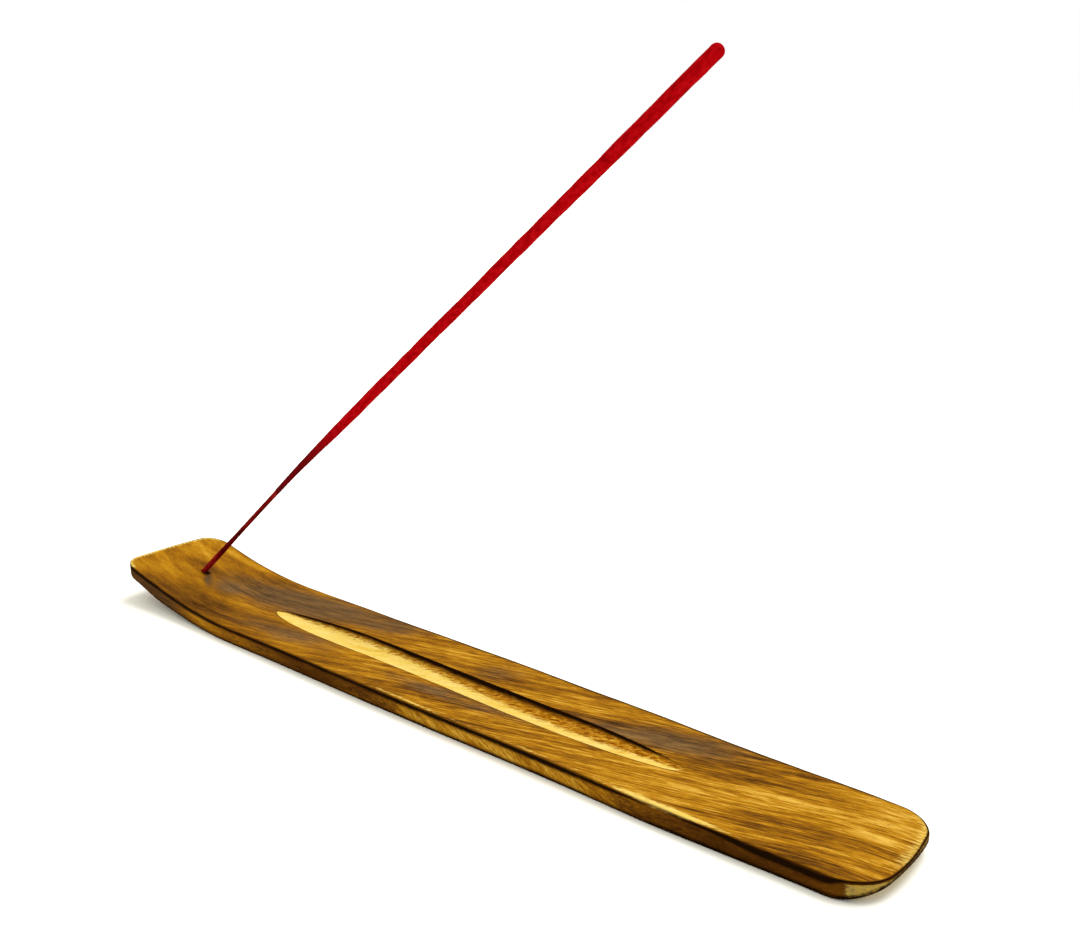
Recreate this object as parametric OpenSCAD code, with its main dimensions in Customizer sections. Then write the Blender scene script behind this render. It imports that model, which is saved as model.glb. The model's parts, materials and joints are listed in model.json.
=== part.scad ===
// Wooden incense holder: a carved plank with an ash trough, and a stick leaning in a slanted hole.
// Millimetres, +Z up. The origin is on the table, under the middle of the tray.
// The tray's upswept end is at -X, and the stick leans over the trough towards +X.

/* [Tray] */
// Length of the tray
tray_length = 254; // [246:1:275]
// Width of the tray at its middle
tray_width = 36; // [34:0.5:42]
// Thickness of the plank
tray_thick = 5; // [4.8:0.1:7]
// How far the upswept stretch reaches in from its end
sweep_length = 52; // [45:1:60]
// Radius of the upswept stretch, on its top face
sweep_radius = 176; // [150:1:240]
// How much narrower each side is at the upswept end
sweep_end_inset = 0.7; // [0:0.1:2]
// How much narrower each side is at the flat end
flat_end_inset = 1.7; // [0:0.1:3]
// Corner radius at the upswept end
sweep_end_corner = 5.5; // [4:0.5:10]
// Corner radius at the flat end
flat_end_corner = 8; // [5:0.5:12]
// How far the middle of the upswept end bows out
sweep_end_bow = 0.7; // [0.2:0.1:2]
// How far the middle of the flat end bows out
flat_end_bow = 2.5; // [0.5:0.1:4]
// How far the rounding under the flat end reaches in
underside_round_length = 11.5; // [6:0.5:16]
// How high the underside rises at the flat end
underside_round_rise = 3.4; // [1:0.1:3.8]

/* [Ash trough] */
// Length of the trough, from tip to tip
trough_length = 147; // [120:1:160]
// Width of the trough at its middle
trough_width = 9.4; // [7:0.1:11]
// Depth of the trough at its middle
trough_depth = 2.6; // [2:0.1:3]
// Distance from the upswept end to the near tip of the trough
trough_start = 54.5; // [50:0.5:60]
// Length of the rounded run-out at each end of the trough
trough_runout = 37; // [25:1:45]

/* [Stick] */
// Overall length of the stick
stick_length = 243; // [225:1:250]
// Angle between the stick and the table, in degrees
stick_lean = 39.2; // [35:0.1:50]
// Diameter of the bamboo splint
splint_diameter = 1.5; // [1.3:0.1:1.7]
// Diameter of the incense paste where it has thickened
paste_diameter = 2.8; // [2.4:0.1:3.4]
// Diameter of the incense paste at the stick's tip
tip_diameter = 3.2; // [2.4:0.1:3.6]
// Length of splint left bare, from the stick's foot
bare_length = 67; // [50:1:90]
// Length over which the paste thickens
paste_taper = 36; // [10:1:50]
// Thickness of the paste where it starts
paste_edge = 0.15; // [0.1:0.05:0.3]
// Diameter of the hole for the stick
hole_diameter = 1.9; // [1.8:0.1:2.2]
// Depth of the hole along its own slant
hole_depth = 4.5; // [3:0.5:4.5]
// Distance from the upswept end to the middle of the hole's mouth
hole_from_end = 17.8; // [15:0.1:25]

/* [Hidden] */

half_length = tray_length / 2;
sweep_start = sweep_length - half_length;
sweep_centre = tray_thick + sweep_radius;
over = 1;              // how far a cutter or blank passes the face that it cuts
corner_step = 10;      // degrees between the points of a corner
side_steps = 6;        // straight lengths in half of a long side
end_steps = 3;         // straight lengths in half of an end

// The trough's section is a circle's. Its middle hangs above the top face.
cutter_radius = (pow(trough_width / 2, 2) + pow(trough_depth, 2)) / (2 * trough_depth);
cutter_centre = tray_thick + cutter_radius - trough_depth;
// The run-outs are arcs along the trough, which lift the cutter out of the wood.
runout_radius = (pow(trough_runout, 2) + pow(trough_depth, 2)) / (2 * trough_depth);
trough_straight = trough_length - 2 * trough_runout;
trough_middle = trough_start + trough_length / 2 - half_length;
// Half the cutter's length, to the points where the run-outs bring it down to nothing
cutter_reach = trough_straight / 2 + sqrt(pow(runout_radius, 2) - pow(runout_radius - cutter_radius, 2));

hole_x = hole_from_end - half_length;
hole_z = sweep_centre - sqrt(pow(sweep_radius, 2) - pow(sweep_length - hole_from_end, 2));
tip_gap = 1;           // paste beyond the end of the splint
// Radius whose arc rises by underside_round_rise over underside_round_length
underside_radius = (pow(underside_round_length, 2) + pow(underside_round_rise, 2))
    / (2 * underside_round_rise);

// Half of the tray's width at a distance x from its middle, where inset is what it loses at the end
function half_width(x, inset) = tray_width / 2 - inset * pow(x / half_length, 2);

// A quarter of the tray's outline: from the middle of a long side, round a corner, to the middle of an end.
function outline_quarter(inset, corner, bow) =
    let (
        corner_x = half_length - corner - bow,
        width = half_width(corner_x, inset)
    )
    concat(
        [for (i = [0 : side_steps]) let (x = corner_x * i / side_steps) [x, half_width(x, inset)]],
        [for (a = [90 - corner_step : -corner_step : 0])
            let (y = width - corner * (1 - sin(a)))
            [half_length - corner * (1 - cos(a)) - bow * pow(y / width, 2), y]],
        [for (i = [end_steps - 1 : -1 : 0])
            let (y = (width - corner) * i / end_steps)
            [half_length - bow * pow(y / width, 2), y]]
    );

// The quarter without its first point, which the quarter before it already has, turned to face another way
function turned(points, x_sign, y_sign) =
    [for (i = [1 : len(points) - 1]) [points[i].x * x_sign, points[i].y * y_sign]];
function backwards(points) = [for (i = [len(points) - 1 : -1 : 1]) points[i]];

// The whole tray seen from above
module plan_outline() {
    flat_end = outline_quarter(flat_end_inset, flat_end_corner, flat_end_bow);
    swept_end = outline_quarter(sweep_end_inset, sweep_end_corner, sweep_end_bow);
    polygon(concat(
        turned(flat_end, 1, 1),
        turned(backwards(flat_end), 1, -1),
        [[0, -tray_width / 2]],
        turned(swept_end, -1, -1),
        turned(backwards(swept_end), -1, 1),
        [[0, tray_width / 2]]
    ));
}

// The whole tray seen from the side: X to the right, Z upwards
module side_profile() {
    translate([-half_length, 0]) intersection() {
        square([sweep_length, sweep_centre]);
        translate([sweep_length, sweep_centre]) difference() {
            circle(r = sweep_centre, $fn = 360);
            circle(r = sweep_radius, $fn = 360);
        }
    }
    difference() {
        translate([sweep_start, 0]) square([tray_length - sweep_length, tray_thick]);
        underside_waste();
    }
}

// What is rounded away under the flat end
module underside_waste() {
    translate([half_length - underside_round_length, 0]) difference() {
        translate([0, -over]) square([underside_round_length + over, over + underside_radius]);
        translate([0, underside_radius]) circle(r = underside_radius, $fn = 180);
        translate([0, underside_radius]) square([underside_round_length + over, over]);
    }
}

// A long spindle that carves the trough
module trough_cutter() {
    translate([trough_middle, 0, cutter_centre]) rotate([0, 90, 0]) rotate_extrude($fn = 96) {
        translate([0, -trough_straight / 2]) square([cutter_radius, trough_straight]);
        for (side = [-1, 1]) {
            intersection() {
                translate([cutter_radius - runout_radius, side * trough_straight / 2])
                    circle(r = runout_radius, $fn = 720);
                translate([0, side > 0 ? trough_straight / 2 : -cutter_reach])
                    square([cutter_radius, cutter_reach - trough_straight / 2]);
            }
        }
    }
}

// Puts what is drawn along +Z on the hole's axis, with Z = 0 at the hole's mouth
module along_stick() {
    translate([hole_x, 0, hole_z]) rotate([0, 90 - stick_lean, 0]) children();
}

module tray() {
    color([0.60, 0.42, 0.18]) difference() {
        intersection() {
            linear_extrude(height = 2 * tray_thick + sweep_length) plan_outline();
            rotate([90, 0, 0]) linear_extrude(height = tray_width + 2 * over, center = true) side_profile();
        }
        trough_cutter();
        along_stick() translate([0, 0, -hole_depth])
            cylinder(d = hole_diameter, h = 2 * hole_depth, $fn = 48);
    }
}

module bamboo_splint() {
    color([0.45, 0.06, 0.08]) along_stick() translate([0, 0, -hole_depth])
        cylinder(d = splint_diameter, h = stick_length - tip_gap, $fn = 32);
}

module incense_paste() {
    splint_radius = splint_diameter / 2;
    paste_radius = paste_diameter / 2;
    tip_radius = tip_diameter / 2;
    shoulder = stick_length - tip_radius;
    color([0.75, 0.02, 0.06]) along_stick() translate([0, 0, -hole_depth]) rotate_extrude($fn = 48)
        difference() {
            union() {
                polygon([
                    [0, bare_length],
                    [splint_radius + paste_edge, bare_length],
                    [paste_radius, bare_length + paste_taper],
                    [tip_radius, shoulder],
                    [0, shoulder]
                ]);
                intersection() {
                    translate([0, shoulder]) circle(r = tip_radius, $fn = 48);
                    translate([0, shoulder]) square(tip_radius);
                }
            }
            square([splint_radius, stick_length - tip_gap]);
        }
}

tray();
bamboo_splint();
incense_paste();
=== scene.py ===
import json
import math
from collections import namedtuple

import bpy
import numpy as np
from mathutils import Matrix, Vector, noise


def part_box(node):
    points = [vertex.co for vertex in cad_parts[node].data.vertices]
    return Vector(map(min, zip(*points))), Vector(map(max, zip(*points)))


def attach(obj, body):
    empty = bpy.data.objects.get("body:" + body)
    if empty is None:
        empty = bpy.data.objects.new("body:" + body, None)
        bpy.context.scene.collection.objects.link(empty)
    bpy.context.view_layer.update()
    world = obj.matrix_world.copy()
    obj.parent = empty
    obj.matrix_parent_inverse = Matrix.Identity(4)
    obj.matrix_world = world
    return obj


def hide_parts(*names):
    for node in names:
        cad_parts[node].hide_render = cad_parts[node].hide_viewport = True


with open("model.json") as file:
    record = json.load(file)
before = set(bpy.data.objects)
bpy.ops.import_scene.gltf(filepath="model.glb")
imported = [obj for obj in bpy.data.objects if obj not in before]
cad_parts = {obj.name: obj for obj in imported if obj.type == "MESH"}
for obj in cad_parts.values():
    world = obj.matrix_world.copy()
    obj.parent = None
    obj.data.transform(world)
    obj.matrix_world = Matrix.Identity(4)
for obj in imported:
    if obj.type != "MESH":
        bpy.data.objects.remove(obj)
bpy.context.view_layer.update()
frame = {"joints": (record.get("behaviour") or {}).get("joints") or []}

# A torched wooden incense holder with one stick of incense, dressed around its CAD frame.
# Shapes are worked out in millimetres, with +X along the tray, and made in metres.
MM = 0.001

# ---------------------------------------------------------------- sizes
tray_low, tray_high = (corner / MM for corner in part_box("tray"))
HALF_LENGTH = (tray_high.x - tray_low.x) / 2
HALF_WIDTH = (tray_high.y - tray_low.y) / 2
THICKNESS = 5.0
SWEEP_LENGTH = 52.0                   # the upswept stretch
SWEEP_RADIUS = 176.0                  # on its top face
SWEEP_START = SWEEP_LENGTH - HALF_LENGTH
UNDERSIDE_LENGTH = 11.5               # the rounding under the flat end
UNDERSIDE_RISE = 3.4

# One end of the tray: the way it faces along X, the radii of its near and far corners, how far its middle
# bows out, and how much narrower than the tray's middle each side is
End = namedtuple("End", "way near_corner far_corner bow narrowing")
SWEPT_END = End(-1, 4.0, 7.0, 0.5, 0.7)
FLAT_END = End(1, 8.0, 7.5, 2.5, 1.7)
BOW_FADE = 30.0                       # how far in from an end its bow can be felt

ARRIS = 0.45                          # radius of the top arris
FOOT_ARRIS = 0.5                      # radius of the bottom arris
SWEPT_FOOT = 1.9                      # the same at the swept end

# The ash trough: a round-bottomed scoop that rises out of the wood at both ends
TROUGH_MIDDLE = 1.0                   # along the tray
TROUGH_OFFSET = -0.7                  # across it, towards the near side
TROUGH_LENGTH = 147.0
TROUGH_RUNOUT = 37.0
TROUGH_WIDTH = 9.4
TROUGH_DEPTH = 2.6
TROUGH_RADIUS = ((TROUGH_WIDTH / 2) ** 2 + TROUGH_DEPTH ** 2) / (2 * TROUGH_DEPTH)
RUNOUT_RADIUS = (TROUGH_RUNOUT ** 2 + TROUGH_DEPTH ** 2) / (2 * TROUGH_DEPTH)
LIP_SOFTNESS = 0.12                   # how softly the scoop meets the top face

# Where the hand-cut lines wander: a bump's place along the tray, its reach and how far it strays.
# A side strays outwards, and the trough towards the far side.
Bump = namedtuple("Bump", "place reach height")
NEAR_WANDER = [
    Bump(-108, 16, -0.35),
    Bump(-74, 13, 0.35),
    Bump(38, 26, -0.4),
    Bump(76, 14, 0.35),
    Bump(110, 12, -0.2),
]
FAR_WANDER = [Bump(0, 24, 0.3), Bump(80, 20, -0.6)]
TROUGH_WANDER = [Bump(-64, 14, -0.5), Bump(-28, 20, 0.5), Bump(32, 24, -0.5), Bump(70, 16, -0.4)]

# The stick, measured along its own length from the mouth of its hole
stick_way = Vector(frame["joints"][0]["axis"]).normalized()
STICK_LENGTH = 243.0
BARE_LENGTH = 67.0                    # splint below the paste, with what is in the hole
HOLE_FROM_END = 17.8
HOLE_DEPTH = 4.5
HOLE_RADIUS = 0.95
SPLINT_RADIUS = 0.75
SPLINT_INSIDE = 0.66                  # radius of the splint inside the paste
PASTE_BORE = 0.645                    # a touch tighter than that, so that no gap is left
PASTE_RADIUS = 1.4
PASTE_EDGE = 0.08                     # thickness of the paste where it starts
PASTE_TAPER = 36.0
TIP_RADIUS = 1.6
STICK_REACH = STICK_LENGTH - HOLE_DEPTH    # from the hole's mouth to the tip
PASTE_START = BARE_LENGTH - HOLE_DEPTH
SPLINT_END = STICK_REACH - 1.1        # the splint stops inside the tip
STICK_BEND = 1.6                      # height of the stick's bend, before it is softened
BEND_PLACE = 68.0                     # where it strays the most
BEND_SOFTNESS = 0.35                  # how gently its two straight lengths meet

# ---------------------------------------------------------------- small helpers


def smooth(value, start, end):
    """0 before start, 1 after end, and a smooth rise between them."""
    share = np.clip((value - start) / (end - start), 0, 1)
    return share * share * (3 - 2 * share)


def hump(value, centre, reach):
    """1 at centre, fading to nothing on both sides of it."""
    return np.exp(-((value - centre) / reach) ** 2)


def wander(x, bumps):
    """How far a hand-cut line strays at x."""
    return sum(bump.height * hump(x, bump.place, bump.reach) for bump in bumps)


def ripple(points, size, seed):
    """Smooth noise from about -1 to 1 at each point, with lumps about `size` across."""
    shift = Vector((seed * 17.3, seed * 5.1, seed * 9.7))
    return np.array([noise.noise(Vector(point) / size + shift) for point in points]) * 2


# ---------------------------------------------------------------- the tray's shape


def half_width(x, side):
    """From the middle line to the tray's long side: side is -1 for the near side and 1 for the far one."""
    narrowing = np.where(x < 0, SWEPT_END.narrowing, FLAT_END.narrowing)
    wide = HALF_WIDTH - narrowing * (x / HALF_LENGTH) ** 2
    return wide + np.where(side < 0, wander(x, NEAR_WANDER), wander(x, FAR_WANDER))


def top_height(x):
    run = np.clip(SWEEP_START - x, 0, None)
    return THICKNESS + SWEEP_RADIUS - np.sqrt(SWEEP_RADIUS ** 2 - run ** 2)


def bottom_height(x):
    outer = SWEEP_RADIUS + THICKNESS
    run = np.clip(SWEEP_START - x, 0, None)
    sweep = outer - np.sqrt(outer ** 2 - run ** 2)
    radius = (UNDERSIDE_LENGTH ** 2 + UNDERSIDE_RISE ** 2) / (2 * UNDERSIDE_RISE)
    reach = np.clip(x - (HALF_LENGTH - UNDERSIDE_LENGTH), 0, UNDERSIDE_LENGTH)
    return sweep + radius - np.sqrt(radius ** 2 - reach ** 2)


def arris_radius(x, side):
    """The top arris is rubbed rounder along two stretches of the near side."""
    return ARRIS + np.where(side < 0, 0.9 * hump(x, 78, 12) + 0.3 * hump(x, -70, 14), 0)


def foot_radius(x):
    """The bottom arris is rounder at the swept end."""
    return FOOT_ARRIS + (SWEPT_FOOT - FOOT_ARRIS) * smooth(-x, 108, 122)


def trough_centre(x):
    """The scoop was cut by hand, and strays from the middle line."""
    return TROUGH_OFFSET + wander(x, TROUGH_WANDER)


def trough_radius(x):
    """Radius of the scoop's section, which shrinks along the run-outs."""
    past = np.clip(np.abs(x - TROUGH_MIDDLE) - (TROUGH_LENGTH / 2 - TROUGH_RUNOUT), 0, RUNOUT_RADIUS)
    return TROUGH_RADIUS - RUNOUT_RADIUS + np.sqrt(RUNOUT_RADIUS ** 2 - past ** 2)


def trough_half_width(x):
    hang = TROUGH_RADIUS - TROUGH_DEPTH
    return np.sqrt(np.clip(trough_radius(x) ** 2 - hang ** 2, 0, None))


def trough_cut(x, y):
    """How deep the scoop is at a place, with a softened lip."""
    across = y - trough_centre(x)
    radius = np.clip(trough_radius(x), 0.01, None)
    inside = np.sqrt(np.clip(radius ** 2 - across ** 2, 0, None))
    depth = inside - (TROUGH_RADIUS - TROUGH_DEPTH)
    return (depth + np.sqrt(depth ** 2 + LIP_SOFTNESS ** 2)) / 2


# ---------------------------------------------------------------- the tray's mesh
CORNER_ROWS = 18                      # rows round each corner
SIDE_ROWS = 380                       # rows along the straight of the sides
OUTER_COLUMNS = 26                    # columns from the trough to a side
LIP_COLUMNS = 9                       # columns across each lip of the trough
FLOOR_COLUMNS = 18                    # columns across the trough's floor
LIP_REACH = 0.6                       # half the width of a lip's columns
NARROWEST = 1.0                       # half the width of the trough's columns beyond its tips
CROWDING = 1.8                        # how tightly the outer columns crowd towards the rim
ARRIS_STEPS = 6                       # rings round each arris
SIDE_STEPS = 12                       # steps down the side


def corner_of(end, side):
    return end.near_corner if side < 0 else end.far_corner


def side_end(end, side):
    return HALF_LENGTH - corner_of(end, side) - end.bow


def row_places(side):
    """Where each row of the grid meets a long side. The rows of a corner all start where its arc does."""
    start, stop = -side_end(SWEPT_END, side), side_end(FLAT_END, side)
    straight = np.linspace(start, stop, SIDE_ROWS)
    return np.concatenate([np.full(CORNER_ROWS, start), straight, np.full(CORNER_ROWS, stop)])


def row_turns():
    """The angle of each row round its corners: a quarter turn along the sides."""
    angles = np.linspace(0, math.pi / 2, CORNER_ROWS, endpoint=False)
    return np.concatenate([angles, np.full(SIDE_ROWS, math.pi / 2), angles[::-1]])


def grid_columns(near, far, centre, trough):
    """Where the columns of one row lie, from the near side to the far one: tight at the rim and the lips."""
    rush = 1 - (1 - np.linspace(0, 1, OUTER_COLUMNS + 1)) ** CROWDING
    low, high = centre - trough - LIP_REACH, centre + trough + LIP_REACH
    to_near = low - (low + near) * rush
    to_far = high + (far - high) * rush
    lip = np.linspace(-LIP_REACH, LIP_REACH, LIP_COLUMNS + 1)
    floor = np.linspace(-trough + LIP_REACH, trough - LIP_REACH, FLOOR_COLUMNS + 1)[1:-1]
    inner = np.concatenate([lip - trough, floor, lip + trough]) + centre
    return np.concatenate([to_near[:0:-1], inner, to_far[1:]])


def plan(inset):
    """The grid seen from above. Its rim is drawn in by inset, a function of place along a side and side."""
    xs, ys = [], []
    for near_place, far_place, turn in zip(row_places(-1), row_places(1), row_turns()):
        end = FLAT_END if near_place > 0 else SWEPT_END
        wide, room, reach = {}, {}, {}
        for side, place in ((-1, near_place), (1, far_place)):
            corner = corner_of(end, side)
            wide[side] = float(half_width(place, side))
            room[side] = wide[side] - corner + (corner - inset(place, side)) * math.sin(turn)
            bow = end.bow * float(smooth(abs(place), side_end(end, side) - BOW_FADE, side_end(end, side)))
            reach[side] = place + end.way * ((corner - inset(place, side)) * math.cos(turn) + bow)
        middle = (near_place + far_place) / 2
        trough = max(float(trough_half_width(middle)), NARROWEST)
        y = grid_columns(room[-1], room[1], float(trough_centre(middle)), trough)
        share = (y + room[-1]) / (room[-1] + room[1])
        across = y / np.where(y < 0, wide[-1], wide[1])
        xs.append(reach[-1] * (1 - share) + reach[1] * share - end.way * bow * across ** 2)
        ys.append(y)
    return np.array(xs), np.array(ys)


def rim_of(grid):
    """The values round the rim of a grid, in order."""
    return np.concatenate([grid[0, :], grid[1:-1, -1], grid[-1, ::-1], grid[-2:0:-1, 0]])


def top_relief(x, y):
    """The plank's face isn't quite flat."""
    points = np.stack([x, y * 2, np.zeros_like(x)], -1)
    return 0.10 * ripple(points, 34, 1) + 0.03 * ripple(points, 7, 2)


def plan_at(top_share, bottom_share):
    """The grid with its rim drawn in by a share of the top arris's radius and of the bottom one's."""
    return plan(lambda place, side: top_share * arris_radius(place, side) + bottom_share * foot_radius(place))


def rim_rings():
    """Closed rings of vertices round the plank: down the top arris, the side and the bottom arris."""
    rings = []

    def ring(top_share, bottom_share, height):
        x, y = (rim_of(grid) for grid in plan_at(top_share, bottom_share))
        high = top_height(x) + top_relief(x, y)
        z = height(high, bottom_height(x), arris_radius(x, np.sign(y)), foot_radius(x))
        rings.append(np.stack([x, y, z], -1))

    for turn in np.linspace(0, math.pi / 2, ARRIS_STEPS + 1)[1:]:
        drop = 1 - math.cos(turn)
        ring(1 - math.sin(turn), 0, lambda high, low, arris, foot: high - arris * drop)
    for share in np.linspace(0, 1, SIDE_STEPS + 1)[1:-1]:
        ring(0, 0, lambda high, low, arris, foot: (high - arris) * (1 - share) + (low + foot) * share)
    for turn in np.linspace(math.pi / 2, 0, ARRIS_STEPS + 1)[:-1]:
        rise = 1 - math.cos(turn)
        ring(0, 1 - math.sin(turn), lambda high, low, arris, foot: low + foot * rise)
    return rings


def top_vertices():
    x, y = plan_at(1, 0)
    relief = top_relief(x.ravel(), y.ravel()).reshape(x.shape)
    return np.stack([x, y, top_height(x) + relief - trough_cut(x, y)], -1).reshape(-1, 3)


def bottom_vertices():
    x, y = plan_at(0, 1)
    return np.stack([x, y, bottom_height(x)], -1).reshape(-1, 3)


def tray_mesh():
    """The whole plank but for the stick's hole, as one closed surface of four-sided faces."""
    top, rings, bottom = top_vertices(), rim_rings(), bottom_vertices()
    numbers = np.arange(len(top)).reshape(len(row_turns()), -1)
    around = len(rings[0])
    first_ring = len(top)
    first_bottom = first_ring + around * len(rings)
    loops = [rim_of(numbers)]
    loops += [first_ring + around * k + np.arange(around) for k in range(len(rings))]
    loops += [first_bottom + rim_of(numbers)]

    cells = np.stack([numbers[:-1, :-1], numbers[1:, :-1], numbers[1:, 1:], numbers[:-1, 1:]], -1)
    cells = cells.reshape(-1, 4)
    faces = [cells, first_bottom + cells[:, ::-1]]
    for upper, lower in zip(loops, loops[1:]):
        faces.append(np.stack([upper, np.roll(upper, -1), np.roll(lower, -1), lower], -1))
    vertices = np.concatenate([top] + rings + [bottom])
    return vertices, np.concatenate(faces)


def make_object(name, vertices, faces, sharp_angle=50):
    """A smooth-shaded mesh object from places in millimetres."""
    mesh = bpy.data.meshes.new(name)
    mesh.from_pydata((np.asarray(vertices) * MM).tolist(), [], [list(map(int, face)) for face in faces])
    mesh.validate()
    mesh.shade_smooth()
    mesh.set_sharp_from_angle(angle=math.radians(sharp_angle))
    made = bpy.data.objects.new(name, mesh)
    bpy.context.scene.collection.objects.link(made)
    return made


# ---------------------------------------------------------------- the stick's shape
HOLE_X = HOLE_FROM_END - HALF_LENGTH
HOLE_MOUTH = Vector((HOLE_X, 0, float(top_height(HOLE_X))))
STICK_UP = Vector((-stick_way.z, 0, stick_way.x))


def stick_bow(along):
    """How far the stick's middle line stands above the straight line from its hole to its tip."""
    rise = max(along, 0) * STICK_BEND / BEND_PLACE
    fall = (STICK_REACH - along) * STICK_BEND / (STICK_REACH - BEND_PLACE)
    return (rise + fall - math.hypot(rise - fall, BEND_SOFTNESS)) / 2


def lathe(profile, sides, skin, bow):
    """A round solid about the stick's line, from pairs of distance along and radius, with a pole at each end.
    The skin turns a distance, a turn and a radius into the radius there. The bow lifts the line."""
    vertices, faces, rings = [], [], []
    for along, radius in profile:
        middle = HOLE_MOUTH + stick_way * along + STICK_UP * bow(along)
        if radius == 0:
            rings.append([len(vertices)] * sides)
            vertices.append(tuple(middle))
            continue
        rings.append(list(range(len(vertices), len(vertices) + sides)))
        for k in range(sides):
            turn = 2 * math.pi * k / sides
            out = STICK_UP * math.cos(turn) + Vector((0, math.sin(turn), 0))
            vertices.append(tuple(middle + out * skin(along, turn, radius)))
    for lower, upper in zip(rings, rings[1:]):
        for k in range(sides):
            after = (k + 1) % sides
            corners = [lower[k], upper[k], upper[after], lower[after]]
            faces.append(list(dict.fromkeys(corners)))
    return vertices, faces


def splint_radius(along):
    """Hand-split bamboo, thickest just above the hole."""
    return SPLINT_RADIUS * (1.03 + 0.15 * float(smooth(along, 0, 2)) - 0.28 * float(smooth(along, 7, 28)))


def splint_skin(along, turn, radius):
    """Six soft facets that drift round the splint, and a few long scars."""
    facets = 0.03 * math.cos(6 * turn + along / 23)
    scars = 0.05 * noise.noise(Vector((along / 19, math.cos(turn) * 2, math.sin(turn) * 2)))
    return radius * (1 + facets + scars)


def paste_radius(along):
    """Thin where it starts, then a long taper, then slowly thicker as far as the tip."""
    start = splint_radius(along) + PASTE_EDGE
    full = PASTE_RADIUS + (TIP_RADIUS - PASTE_RADIUS) * float(smooth(along, 150, STICK_REACH))
    return start + (full - start) * float(smooth(along, PASTE_START - 12, PASTE_START + PASTE_TAPER + 4))


def paste_skin(along, turn, radius):
    """Rolled on by hand: slow lumps, a few hollows and a granular skin. The bore is left smooth."""
    if radius <= SPLINT_RADIUS:
        return radius
    round_place = Vector((along / 3.4, math.cos(turn) * 1.1, math.sin(turn) * 1.1))
    lumps = 0.056 * noise.noise(round_place * 0.35) + 0.0448 * noise.noise(round_place + Vector((7, 0, 3)))
    grains = 0.018 * noise.noise(round_place * 5.2)
    return radius * (1 + lumps + grains)


def splint_mesh():
    chamfer = 0.25
    foot = -HOLE_DEPTH + 0.02         # just clear of the bottom of the hole
    bare = np.arange(-HOLE_DEPTH + chamfer, PASTE_START + 6, 0.8)
    covered = np.arange(PASTE_START + 9, SPLINT_END - 0.4, 6)
    profile = [(foot, 0.0), (foot, SPLINT_RADIUS - chamfer)]
    profile += [(along, splint_radius(along)) for along in bare]
    profile += [(along, SPLINT_INSIDE) for along in covered]
    profile += [(SPLINT_END - 0.1, SPLINT_RADIUS * 0.6), (SPLINT_END, 0.0)]
    return lathe(profile, sides=28, skin=splint_skin, bow=stick_bow)


def paste_mesh():
    shoulder = STICK_REACH - TIP_RADIUS
    edge = PASTE_START - 10           # the paste's first thin smear
    profile = [(SPLINT_END, 0.0)]
    profile += [(along, PASTE_BORE) for along in np.linspace(SPLINT_END, edge, 40)]
    profile += [(along, paste_radius(along)) for along in np.arange(edge + 0.4, shoulder, 0.45)]
    for turn in np.linspace(0, math.pi / 2, 9)[:-1]:
        profile.append((shoulder + TIP_RADIUS * math.sin(turn), TIP_RADIUS * math.cos(turn)))
    profile.append((STICK_REACH, 0.0))
    return lathe(profile, sides=36, skin=paste_skin, bow=stick_bow)


def hole_cutter():
    """The slanted drill that makes the stick's hole, a little wider at the mouth."""
    profile = [
        (-HOLE_DEPTH, 0.0),
        (-HOLE_DEPTH, HOLE_RADIUS),
        (-1.6, HOLE_RADIUS),
        (0.4, HOLE_RADIUS + 0.03),
        (4.0, HOLE_RADIUS + 0.3),
        (4.0, 0.0),
    ]
    return lathe(profile, sides=40, skin=lambda along, turn, radius: radius, bow=lambda along: 0)


def drill(target, cutter):
    """Cuts the cutter out of the target, applies the cut, and removes the cutter."""
    cut = target.modifiers.new("hole", "BOOLEAN")
    cut.operation = "DIFFERENCE"
    cut.solver = "EXACT"
    cut.object = cutter
    bpy.context.view_layer.update()
    evaluated = target.evaluated_get(bpy.context.evaluated_depsgraph_get())
    finished = bpy.data.meshes.new_from_object(evaluated)
    target.modifiers.remove(cut)
    target.data = finished
    bpy.data.objects.remove(cutter)


# ---------------------------------------------------------------- where the wood is dark, burnt or bare, and where shade is painted on it
# A soft patch: its middle, how far it reaches along and across, its turn in degrees, and its strength.
# Each group runs from the swept end to the flat one.
Patch = namedtuple("Patch", "x y along across turn strength")
SMOKE_AND_SHADOW = [
    # This first patch is the stick's shadow, painted where the stick leaves its hole; it deepens the shadow
    # that the key light casts there.
    Patch(-104.5, -2, 4.5, 1.1, -36, 1.0),
    Patch(-96, -1, 8, 4, -8, 0.6),
    Patch(-76, 6, 26, 8, 2, 1.0),
    Patch(-64, -11, 26, 5, 3, 0.5),
    Patch(-52, 13, 22, 6, 8, 0.7),
    Patch(-50, -8.5, 15, 4, 8, 0.4),
    Patch(-36, 12, 14, 5, 15, 0.5),
    Patch(8, -8.5, 24, 3.2, 4, 0.9),
    Patch(9, 10, 9, 6, 30, 0.6),
    Patch(46, 4, 14, 2.5, 5, 0.5),
    Patch(66, 9, 19, 6, 14, 0.95),
]
UMBER = [
    Patch(-118, 1.2, 9, 0.8, 0, 0.6),
    Patch(-108, 12, 8, 0.9, 0, 0.5),
    Patch(-98, -15, 18, 3.5, 0, 0.9),
    Patch(-98, 8.5, 9, 3, 0, 0.6),
    Patch(-90, -11.5, 30, 5.5, 3, 0.6),
    Patch(-26, 8.5, 16, 3.5, 10, 0.7),
    Patch(16, 8.5, 9, 3, 10, 0.6),
    Patch(82, 8.5, 10, 3, 10, 0.6),
    Patch(96, 15, 12, 2, 0, 0.3),
    Patch(106, -8, 16, 2.4, 12, 0.45),
    Patch(112, -14, 9, 3, 0, 0.7),
]
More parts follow.
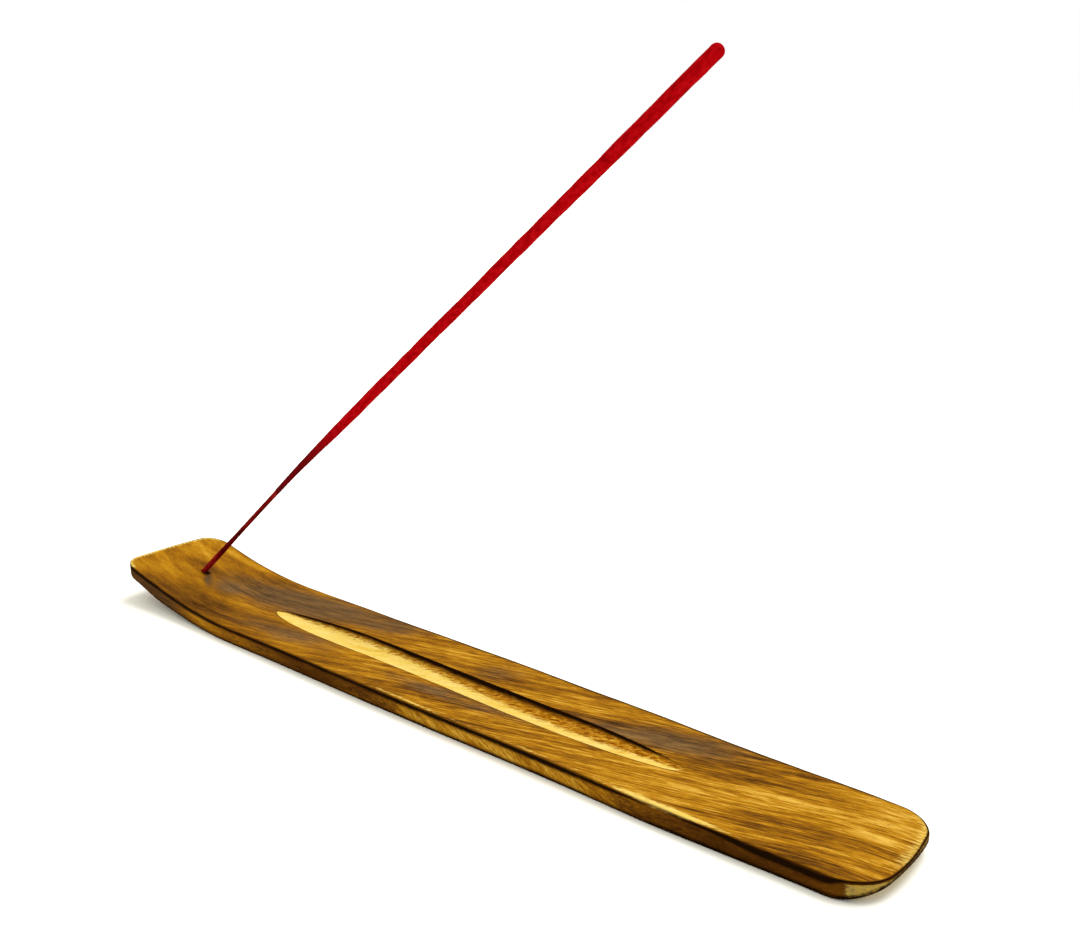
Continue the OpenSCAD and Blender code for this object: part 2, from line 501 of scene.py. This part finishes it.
GOLDEN = [
    Patch(-122, 8, 7, 4, 0, 0.9),
    Patch(-122, -13, 6, 3, 0, 0.8),
    Patch(-113, 15, 13, 3, 0, 0.9),
    Patch(-113, -6, 14, 4, 0, 0.6),
    Patch(-85, -4, 15, 1.2, 8, 0.6),
    Patch(-75, -11, 11, 5, 0, 0.6),
    Patch(-74, 15, 10, 3, 0, 0.8),
    Patch(-50, -11, 10, 1.3, 15, 0.5),
    Patch(-50, -14, 9, 3, 0, 0.6),
    Patch(-26, -8, 9, 3, 8, 0.9),
    Patch(-17, 11, 20, 3, 18, 0.8),
    Patch(8, -15, 15, 1.5, 2, 0.7),
    Patch(33, 9, 13, 3, 22, 0.7),
    Patch(44, -11, 13, 4, 8, 0.7),
    Patch(70, -10, 18, 3, 12, 0.5),
    Patch(74, -15.5, 16, 2, 0, 0.6),
    Patch(78, -7, 14, 3.5, 8, 0.7),
    Patch(103, 3, 26, 2.6, 12, 1.0),
    Patch(119, 14, 8, 4, 0, 0.8),
    Patch(120, 5, 8, 11, 10, 0.8),
]


def patches(group, x, y):
    """How strongly a group of soft patches covers each place."""
    total = np.zeros_like(x)
    for patch in group:
        turn = math.radians(patch.turn)
        along = (x - patch.x) * math.cos(turn) + (y - patch.y) * math.sin(turn)
        across = (y - patch.y) * math.cos(turn) - (x - patch.x) * math.sin(turn)
        total += patch.strength * np.exp(-(along / patch.along) ** 2 - (across / patch.across) ** 2)
    return np.clip(total, 0, 1.2)


def rim_distance(x, y):
    """From the rim inwards, along the top face."""
    end_bow = np.where(x > 0, FLAT_END.bow, SWEPT_END.bow)
    near_corner = np.where(x > 0, FLAT_END.near_corner, SWEPT_END.near_corner)
    far_corner = np.where(x > 0, FLAT_END.far_corner, SWEPT_END.far_corner)
    corner = np.where(y < 0, near_corner, far_corner)
    wide = half_width(x, np.sign(y))
    out_x = np.abs(x) + end_bow * (y / wide) ** 2 - (HALF_LENGTH - corner)
    out_y = np.abs(y) - (wide - corner)
    outside = np.hypot(np.clip(out_x, 0, None), np.clip(out_y, 0, None))
    inside = np.clip(np.maximum(out_x, out_y), None, 0)
    return corner - outside - inside


def grain_slant(x):
    """How far the grain has drifted across the tray at x. It is straight at the swept end, then turns."""
    places = np.linspace(-HALF_LENGTH, HALF_LENGTH, 256)
    slope = 0.27 * smooth(places, -105, -40) - 0.2 * smooth(places, 105, 124)
    drift = np.concatenate([[0], np.cumsum((slope[1:] + slope[:-1]) / 2 * np.diff(places))])
    return np.interp(x, places, drift)


# Where each vertex lies on the tray: its x and y, whether it is on the near half, its way inwards from the
# top arris (below 0 down the side), its height over the underside, whether it is on a side or underneath,
# its place across the trough (-1 and 1 at the lips), how surely it lies in it (0 to 1), and its place along
# it (-1 and 1 at the tips)
Where = namedtuple("Where", "x y near past_arris above_foot on_side underneath across in_trough run")
SIDE_BAND = 1.6                       # seen from above, a side's vertices lie nearer the rim than this
ARRIS_BAND = 2.5                      # and a drop counts as the way past the arris nearer than this
CLEAR_OF_FACE = 0.2                   # what is this far from a face isn't on it
UNBURNT = -1.5                        # scorch and painted shade low enough that no noise makes them show


def lip_distance(x):
    """Half the trough's width, or a little where it has run out."""
    return np.clip(trough_half_width(x), 0.8, None)


def find_places(places):
    x, y, z = places.T
    rim = rim_distance(x, y)
    depth = top_height(x) - z
    above_foot = z - bottom_height(x)
    on_side = (rim < SIDE_BAND) & (depth > CLEAR_OF_FACE)
    underneath = (above_foot < FOOT_ARRIS) & (rim > CLEAR_OF_FACE)
    past_arris = rim - np.where(rim < ARRIS_BAND, np.clip(depth, 0, None), 0)
    across = (y - trough_centre(x)) / lip_distance(x)
    in_trough = np.where(underneath, 0, smooth(trough_cut(x, y), 0.10, 0.30))
    run = (x - TROUGH_MIDDLE) / (TROUGH_LENGTH / 2)
    return Where(x, y, y < 0, past_arris, above_foot, on_side, underneath, across, in_trough, run)


def arris_burn(at):
    """The burnt line along the top arris: broad down the near side, a thread along the far one."""
    near_width = 0.72 + 0.5 * smooth(at.x, 90, 104) - 0.85 * smooth(at.x, 115, 121)
    near_width -= 0.45 * hump(at.x, 78, 11)
    far_width = 0.3 + 0.3 * smooth(at.x, -70, -30) - 0.3 * smooth(at.x, 112, 122)
    farness = smooth(at.y, -7, 7)
    width = near_width + (far_width - near_width) * farness
    middle = (0.05 - near_width) * (1 - farness) + 0.15 * farness
    return 1 - np.abs(at.past_arris - middle) / width


def side_char_and_shade(at):
    """The near side is burnt in stretches, darkened there further as painted shade, and has a dark line all
    along its foot that is mostly a painted contact shadow.
    """
    # Burnt stretches, deepened as painted shade: the lamps alone would light the near side almost as brightly
    # as the top.
    char_and_shade = -0.85 + 0.6 * hump(at.x, -114, 18) + 1.05 * hump(at.x, -34, 27)
    char_and_shade += 0.85 * hump(at.x, 76, 13) + 0.85 * smooth(at.x, 80, 95)
    # The dark line at the foot: a little burn on the bottom arris, mostly a painted contact shadow.
    foot_width = 0.75 + 0.7 * smooth(at.x, 60, 90)
    foot = 0.75 - np.abs(at.above_foot - 0.3) / foot_width
    return np.where(at.on_side, np.maximum(char_and_shade, foot), UNBURNT)


def trough_burn(at):
    """A ragged line under the trough's far lip, and a thread on its near one."""
    half = lip_distance(at.x)
    far_width = 0.45 + 0.35 * hump(at.run, 0.05, 0.5)
    fading = 1.3 * smooth(at.run, 0.82, 1.0) + 1.0 * smooth(-at.run, 0.85, 1.02)
    below = (1 - at.across) * half
    lower = np.where(below > 0, below / far_width, -below / 0.08)
    far_lip = np.where(at.across > 0, 1.15 - fading - lower, UNBURNT)
    near_lip = np.where(at.across < 0, 0.6 - np.abs((1 + at.across) * half) / 0.3, UNBURNT)
    elsewhere = np.maximum(smooth(np.abs(at.run), 0.965, 0.985), at.underneath)
    return np.maximum(far_lip, near_lip) * (1 - elsewhere) + UNBURNT * elsewhere


def hole_burn(at):
    """The scorched mouth of the stick's hole."""
    burnt = 1 - np.hypot((at.x - HOLE_X - 1.0) / 1.7, at.y / 1.1) ** 2
    return np.where(at.underneath, UNBURNT, burnt)


def bare_wood(at):
    """The trough's floor, what is rubbed pale along the rim, and the facet under the flat end."""
    border = 0.72 - 0.42 * smooth(at.run, -0.6, 0.5)
    floor = at.in_trough * (1 - smooth(at.across, border - 0.4, border + 0.4))
    floor *= 1 - 0.5 * smooth(at.run, 0.84, 1.0)
    along_side = 0.55 * hump(at.x, 0, 16) + 0.4 * hump(at.x, 40, 20) + 1.0 * hump(at.x, 80, 15)
    rubbed = hump(at.past_arris, 0.85, 0.6 + 0.6 * hump(at.x, 76, 14)) * np.where(at.near, along_side, 0)
    swept_rim = 0.62 * hump(at.past_arris, 0.5, 0.9) * smooth(-at.x, 119, 123.5)
    flat_rim = 0.5 * hump(at.past_arris, 0.8, 2.2) * smooth(at.x, 117, 125) * smooth(at.y, -14, 0)
    facet = smooth(at.x, 119.0, 121.5) * np.where(at.underneath, 1, smooth(-at.past_arris, 0.7, 1.1))
    hidden = at.underneath & (at.x < 114)
    return np.where(hidden, 0, np.maximum.reduce([floor, rubbed, swept_rim, flat_rim, facet]))


def ember_wood(at):
    """Half-burnt wood on the far side of the trough, and at its tip towards the flat end."""
    far_side = smooth(at.across, 0.0, 0.5) * (0.6 + 0.4 * smooth(at.run, -0.3, 0.4))
    tip = 0.7 * smooth(at.run, 0.8, 1.0)
    return at.in_trough * np.maximum(far_side, tip)


def clouds(at, group, near_side, far_side, under):
    """Soft patches on the top face. The sides and the underside have strengths of their own."""
    side = np.where(at.near, near_side, far_side)
    return np.where(at.underneath, under, np.where(at.on_side, side, patches(group, at.x, at.y)))


def grain_places(at, z):
    """Each vertex's place in the grain, which drifts across the tray and climbs along its near side."""
    climb = np.where(at.on_side & at.near, 0.7 * np.clip(at.x + 5, 0, 70), 0)
    return np.stack([at.x, at.y - grain_slant(at.x), z * 1.3 + climb], -1)


def wood_fields(places):
    """What the wood's material reads at each vertex, worked out from its place."""
    at = find_places(places)
    x = at.x
    # Burns, and on the near side also painted shade and a painted contact shadow along its foot
    scorch_and_shade = np.maximum.reduce([arris_burn(at), side_char_and_shade(at), trough_burn(at), hole_burn(at)])
    waves = np.sin(x / 31 + at.y / 9)
    side_golden = 0.7 * hump(x, -83, 13) + 0.8 * smooth(x, -8, 4) * (1 - smooth(x, 56, 68))
    return {
        "scorch_and_shade": np.clip(scorch_and_shade, UNBURNT, 1),
        "bare": np.clip(bare_wood(at), 0, 1),
        "smoke_and_shadow": clouds(at, SMOKE_AND_SHADOW, 0.9 * hump(x, -114, 18), 0.5 + 0.3 * waves, 0.35 + 0.25 * waves),
        "umber": clouds(at, UMBER, 0.8 - side_golden, 0.4, 0.3),
        "golden": clouds(at, GOLDEN, side_golden, 0.2, 0.2),
        "ember": np.clip(ember_wood(at), 0, 1),
        "calm": 1 - 0.5 * smooth(x, -104, -85) - 0.5 * smooth(x, -50, -10),
        "grain": grain_places(at, places[:, 2]),
    }


def store(target, fields):
    """Writes each field on the target's vertices, for its material to read."""
    for name, values in fields.items():
        kind, key = ("FLOAT_VECTOR", "vector") if values.ndim == 2 else ("FLOAT", "value")
        attribute = target.data.attributes.new(name, kind, "POINT")
        attribute.data.foreach_set(key, values.astype(np.float32).ravel())


def places_of(target):
    """The vertices' places, in millimetres."""
    places = np.zeros(len(target.data.vertices) * 3, np.float32)
    target.data.vertices.foreach_get("co", places)
    return places.reshape(-1, 3).astype(float) / MM


# ---------------------------------------------------------------- material helpers
STUDIO_BRIGHTNESS = 1.7               # light on the table, where 1 would just turn white paper white
LOW_GLOSS = 0.004                     # the studio is white all round, so more gloss would veil the colours


def tint(red, green, blue):
    """The shader's colour for what looks like this on a screen, in the bright studio. Above 255 it would be
    over-exposed."""
    shares = [value / 255 for value in (red, green, blue)]
    linear = [share / 12.92 if share <= 0.04045 else ((share + 0.055) / 1.055) ** 2.4 for share in shares]
    return tuple(share / STUDIO_BRIGHTNESS for share in linear) + (1,)


class Painter:
    """Adds nodes to one material and joins them up. Most methods return the new node's output."""

    def __init__(self, name):
        self.material = bpy.data.materials.new(name)
        self.material.use_nodes = True
        self.tree = self.material.node_tree
        self.shader = self.tree.nodes["Principled BSDF"]

    def node(self, kind, inputs, output=0, **settings):
        made = self.tree.nodes.new(kind)
        for name, value in settings.items():
            setattr(made, name, value)
        for place, value in inputs.items():
            if isinstance(value, bpy.types.NodeSocket):
                self.tree.links.new(value, made.inputs[place])
            else:
                made.inputs[place].default_value = value
        return made.outputs[output]

    def field(self, name, output="Fac"):
        return self.node("ShaderNodeAttribute", {}, output, attribute_name=name)

    def math(self, operation, first, second=0.0, third=0.0):
        return self.node("ShaderNodeMath", {0: first, 1: second, 2: third}, operation=operation)

    def stretch(self, vector, scale):
        return self.node("ShaderNodeVectorMath", {0: vector, 1: scale}, operation="MULTIPLY")

    def noise(self, vector, detail=3.0, roughness=0.5):
        inputs = {"Vector": vector, "Scale": 1.0, "Detail": detail, "Roughness": roughness}
        return self.node("ShaderNodeTexNoise", inputs)

    def grained(self, vector, along, across, detail, roughness=0.5):
        """Noise with so many lumps a millimetre along the grain and across it, and 0 as its middle."""
        lumps = self.noise(self.stretch(vector, (along, across, across)), detail, roughness)
        return self.math("SUBTRACT", lumps, 0.5)

    def total(self, start, *parts):
        """The start, with each part's value times its share added on."""
        for value, share in parts:
            start = self.math("MULTIPLY_ADD", value, share, start)
        return start

    def rise(self, value, start, end, low=0.0, high=1.0):
        """A smooth rise from low to high while the value goes from start to end."""
        inputs = {0: value, 1: start, 2: end, 3: low, 4: high}
        return self.node("ShaderNodeMapRange", inputs, interpolation_type="SMOOTHSTEP")

    def ramp(self, value, stops):
        made = self.tree.nodes.new("ShaderNodeValToRGB")
        self.tree.links.new(value, made.inputs[0])
        elements = made.color_ramp.elements
        while len(elements) < len(stops):
            elements.new(0.5)
        for element, (place, colour) in zip(elements, stops):
            element.position = place
            element.color = colour
        return made.outputs[0]

    def mix(self, share, first, second, blend="MIX"):
        inputs = {0: share, 6: first, 7: second}
        return self.node("ShaderNodeMix", inputs, 2, data_type="RGBA", blend_type=blend)

    def set(self, **values):
        for name, value in values.items():
            socket = self.shader.inputs[name.replace("_", " ").title().replace("Ior", "IOR")]
            if isinstance(value, bpy.types.NodeSocket):
                self.tree.links.new(value, socket)
            else:
                socket.default_value = value

    def bump(self, height, strength, distance):
        inputs = {"Strength": strength, "Distance": distance, "Height": height}
        self.tree.links.new(self.node("ShaderNodeBump", inputs), self.shader.inputs["Normal"])


# ---------------------------------------------------------------- materials


# Noise drawn out along the grain, from broad figure down to single fibres, each from about -0.5 to 0.5
Layers = namedtuple("Layers", "wobble figure streaks dashes flames fibres pores blotches")


def grain_layers(paint):
    grain = paint.field("grain", "Vector")
    return Layers(
        wobble=paint.grained(grain, 0.02, 0.05, 2.0),
        figure=paint.grained(grain, 0.022, 0.26, 4.0, 0.6),
        streaks=paint.grained(grain, 0.045, 0.60, 5.0, 0.68),
        dashes=paint.grained(grain, 0.13, 1.90, 4.0, 0.65),
        flames=paint.grained(grain, 0.50, 2.00, 3.0, 0.55),
        fibres=paint.grained(grain, 0.24, 3.60, 4.0, 0.6),
        pores=paint.grained(grain, 0.70, 6.50, 2.0),
        blotches=paint.grained(grain, 0.09, 0.22, 4.0, 0.6),
    )


def wood_tone(paint, layers, patchy):
    """How bright the wood is: 0 is the darkest and 1 the brightest. Calm wood has fainter streaks."""
    lively = paint.total(0.95, (paint.field("calm"), -0.75))
    fine = paint.total(0.0, (layers.flames, 0.2), (layers.fibres, 0.55))
    detail = paint.total(fine, (layers.streaks, 0.75), (layers.dashes, 1.15))
    return paint.total(
        0.5,
        (layers.figure, 0.75),
        (detail, lively),
        (paint.field("golden"), 0.17),
        (paint.field("umber"), -0.20),
        (patchy, -0.14),
    )


def smoked_colour(paint, tone, patchy):
    """Where the wood is neither burnt nor bare, it is golden brown, and grey-brown where smoke or the stick's
    painted shadow darkens it.
    """
    golden_brown = paint.ramp(tone, [
        (0.10, tint(58, 32, 10)),
        (0.32, tint(118, 74, 20)),
        (0.50, tint(170, 111, 20)),
        (0.66, tint(210, 148, 30)),
        (0.88, tint(252, 202, 88)),
    ])
    grey_brown = paint.ramp(tone, [
        (0.10, tint(76, 56, 36)),
        (0.50, tint(136, 104, 68)),
        (0.80, tint(178, 138, 86)),
    ])
    return paint.mix(paint.rise(patchy, 0.15, 1.1, 0.0, 0.85), golden_brown, grey_brown)


def with_ember(paint, layers, colour):
    """Adds the orange-brown, fibrous wood that the torch half reached."""
    ember = paint.field("ember")
    fine = paint.total(0.70, (layers.flames, 0.4), (layers.fibres, 0.6))
    ember_colour = paint.ramp(paint.total(fine, (layers.dashes, 0.9), (ember, -0.22)), [
        (0.28, tint(110, 60, 6)),
        (0.48, tint(196, 124, 16)),
        (0.66, tint(250, 196, 66)),
    ])
    share = paint.math("MULTIPLY", ember, paint.rise(layers.streaks, -0.3, 0.1, 0.7, 1.0))
    return paint.mix(share, colour, ember_colour)


def with_bare(paint, layers, colour):
    """Adds the pale sapwood that the torch missed, with a fibrous edge."""
    bare_colour = paint.ramp(paint.total(0.5, (layers.streaks, 0.6), (layers.dashes, 0.6)), [
        (0.26, tint(236, 170, 44)),
        (0.44, tint(260, 222, 102)),
        (0.64, tint(272, 242, 150)),
    ])
    edge = paint.total(paint.field("bare"), (layers.flames, 1.1))
    return paint.mix(paint.rise(edge, 0.25, 0.75), colour, bare_colour)


def with_scorch_and_shade(paint, layers, colour):
    """Adds what is burnt almost black, with a ragged brown border; the same colours paint the shade down the
    near side and the contact shadow along its foot.
    """
    scorch_and_shade = paint.field("scorch_and_shade")
    ragged = paint.total(scorch_and_shade, (layers.dashes, 1.0), (layers.streaks, 1.2), (layers.wobble, 0.8))
    browned = paint.mix(paint.rise(ragged, -0.9, 0.35, 0.0, 0.75), colour, tint(84, 44, 6))
    return paint.mix(paint.rise(ragged, -0.05, 0.65), browned, tint(30, 14, 2))


def torched_wood():
    paint = Painter("torched_wood")
    layers = grain_layers(paint)
    patchy = paint.math("MULTIPLY", paint.field("smoke_and_shadow"), paint.rise(layers.blotches, -0.25, 0.1, 0.55, 1.15))
    colour = smoked_colour(paint, wood_tone(paint, layers, patchy), patchy)
    colour = with_ember(paint, layers, colour)
    colour = with_bare(paint, layers, colour)
    # Dark flecks of end-cut fibre and open pores
    flecks = paint.rise(layers.pores, 0.10, 0.22, 0.0, 0.55)
    colour = paint.mix(flecks, colour, tint(84, 44, 10), "MULTIPLY")
    colour = with_scorch_and_shade(paint, layers, colour)
    paint.set(base_color=colour, roughness=paint.total(0.55, (layers.fibres, 0.25)))
    paint.set(specular_ior_level=LOW_GLOSS)
    height = paint.total(0.0, (layers.flames, 0.4), (layers.fibres, 0.6), (flecks, -0.8))
    paint.bump(height, strength=0.55, distance=0.06 * MM)
    return paint.material


def dyed_bamboo():
    paint = Painter("dyed_bamboo")
    grain = paint.field("grain", "Vector")
    fibres = paint.noise(paint.stretch(grain, (0.12, 5.0, 5.0)), 4.0, 0.65)
    stains = paint.noise(paint.stretch(grain, (0.16, 0.7, 0.7)), 3.0, 0.6)
    tone = paint.total(0.0, (fibres, 0.4), (stains, 0.7), (paint.field("dark_dye"), -0.14))
    colour = paint.ramp(tone, [
        (0.30, tint(52, 4, 4)),
        (0.52, tint(138, 14, 14)),
        (0.70, tint(188, 44, 44)),
    ])
    paint.set(base_color=colour, roughness=paint.total(0.4, (fibres, 0.2)))
    paint.set(specular_ior_level=LOW_GLOSS)
    paint.bump(fibres, strength=0.6, distance=0.05 * MM)
    return paint.material


def incense_paste():
    paint = Painter("incense_paste")
    grain = paint.field("grain", "Vector")
    powder = paint.noise(paint.stretch(grain, (4.5, 4.5, 4.5)), 4.0, 0.7)
    clumps = paint.noise(paint.stretch(grain, (0.5, 0.9, 0.9)), 3.0, 0.55)
    colour = paint.ramp(paint.total(0.0, (powder, 0.4), (clumps, 0.6)), [
        (0.30, tint(138, 0, 6)),
        (0.50, tint(196, 4, 14)),
        (0.72, tint(222, 26, 34)),
    ])
    thin = paint.math("MULTIPLY", paint.field("thin_paste"), paint.rise(clumps, 0.3, 0.6, 0.7, 1.0))
    colour = paint.mix(thin, colour, tint(104, 12, 18))
    paint.set(base_color=colour, roughness=0.88, specular_ior_level=LOW_GLOSS)
    paint.bump(paint.total(0.0, (clumps, 0.4), (powder, 0.6)), strength=0.8, distance=0.12 * MM)
    return paint.material


def floor_material():
    paint = Painter("floor")
    paint.set(base_color=(0.93, 0.93, 0.92, 1), roughness=0.9, specular_ior_level=0.0)
    return paint.material


# ---------------------------------------------------------------- the pieces


def stick_fields(places):
    """Places along the stick and across it, so that its fibres run along it."""
    from_mouth = places - np.array(HOLE_MOUTH)
    along = from_mouth @ np.array(stick_way)
    across = from_mouth @ np.array(STICK_UP)
    return {
        "grain": np.stack([along, across, from_mouth[:, 1]], -1),
        "dark_dye": smooth(along, 7, 16) * (1 - 0.5 * smooth(along, 30, 60)),
        "thin_paste": 1 - smooth(along, PASTE_START + 4, PASTE_START + 34),
    }


def make_tray():
    tray = make_object("wooden_tray", *tray_mesh())
    drill(tray, make_object("drill", *hole_cutter()))
    store(tray, wood_fields(places_of(tray)))
    tray.data.materials.append(torched_wood())
    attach(tray, "tray")
    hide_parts("tray")


def make_stick_piece(name, mesh, node, material):
    piece = make_object(name, *mesh)
    store(piece, stick_fields(places_of(piece)))
    piece.data.materials.append(material)
    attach(piece, "stick")
    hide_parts(node)


# ---------------------------------------------------------------- camera, light and floor
CAMERA_PLACE = Vector((203.72, -206.86, 143.19)) * MM
CAMERA_AZIMUTH = math.radians(39.95)
CAMERA_ELEVATION = math.radians(15.51)
CAMERA_LENS = 39.97


def make_camera():
    data = bpy.data.cameras.new("camera")
    data.lens = CAMERA_LENS
    data.clip_start = 0.01
    camera = bpy.data.objects.new("camera", data)
    camera.location = CAMERA_PLACE
    camera.rotation_euler = (math.pi / 2 - CAMERA_ELEVATION, 0, CAMERA_AZIMUTH)
    bpy.context.scene.collection.objects.link(camera)
    bpy.context.scene.camera = camera


def soft_light(name, direction, strength, spread):
    """Even light from a wide patch of the studio's ceiling: spread is the patch's width in degrees."""
    data = bpy.data.lights.new(name, "SUN")
    data.energy = strength
    data.angle = math.radians(spread)
    light = bpy.data.objects.new(name, data)
    light.rotation_euler = (-Vector(direction)).to_track_quat("-Z", "Y").to_euler()
    bpy.context.scene.collection.objects.link(light)


def make_world(backdrop, ambient, strength):
    """A pale studio: the backdrop is what the camera sees, and the ambient what lights the object."""
    world = bpy.data.worlds.new("studio")
    world.use_nodes = True
    tree = world.node_tree
    tree.nodes.clear()
    seen = tree.nodes.new("ShaderNodeBackground")
    seen.inputs[0].default_value = backdrop
    lit = tree.nodes.new("ShaderNodeBackground")
    lit.inputs[0].default_value = ambient
    lit.inputs[1].default_value = strength
    path = tree.nodes.new("ShaderNodeLightPath")
    choose = tree.nodes.new("ShaderNodeMixShader")
    out = tree.nodes.new("ShaderNodeOutputWorld")
    tree.links.new(path.outputs["Is Camera Ray"], choose.inputs[0])
    tree.links.new(lit.outputs[0], choose.inputs[1])
    tree.links.new(seen.outputs[0], choose.inputs[2])
    tree.links.new(choose.outputs[0], out.inputs[0])
    bpy.context.scene.world = world


def make_floor(size, height):
    """A square floor, its size in metres and its height in millimetres."""
    half = size / 2 / MM
    corners = [(-half, -half, height), (half, -half, height), (half, half, height), (-half, half, height)]
    floor = make_object("floor", corners, [[0, 1, 2, 3]])
    floor.data.materials.append(floor_material())


make_camera()
make_world(backdrop=(1, 1, 1, 1), ambient=(1.0, 0.98, 0.86, 1), strength=1.1)
soft_light("key", direction=(0.15, 0.45, 1.0), strength=2.1, spread=35)
make_floor(size=12, height=-0.02)     # just clear of the tray's underside
bpy.context.scene.view_settings.view_transform = "Standard"

make_tray()
make_stick_piece("stick_splint", splint_mesh(), "bamboo_splint", dyed_bamboo())
make_stick_piece("stick_paste", paste_mesh(), "incense_paste", incense_paste())
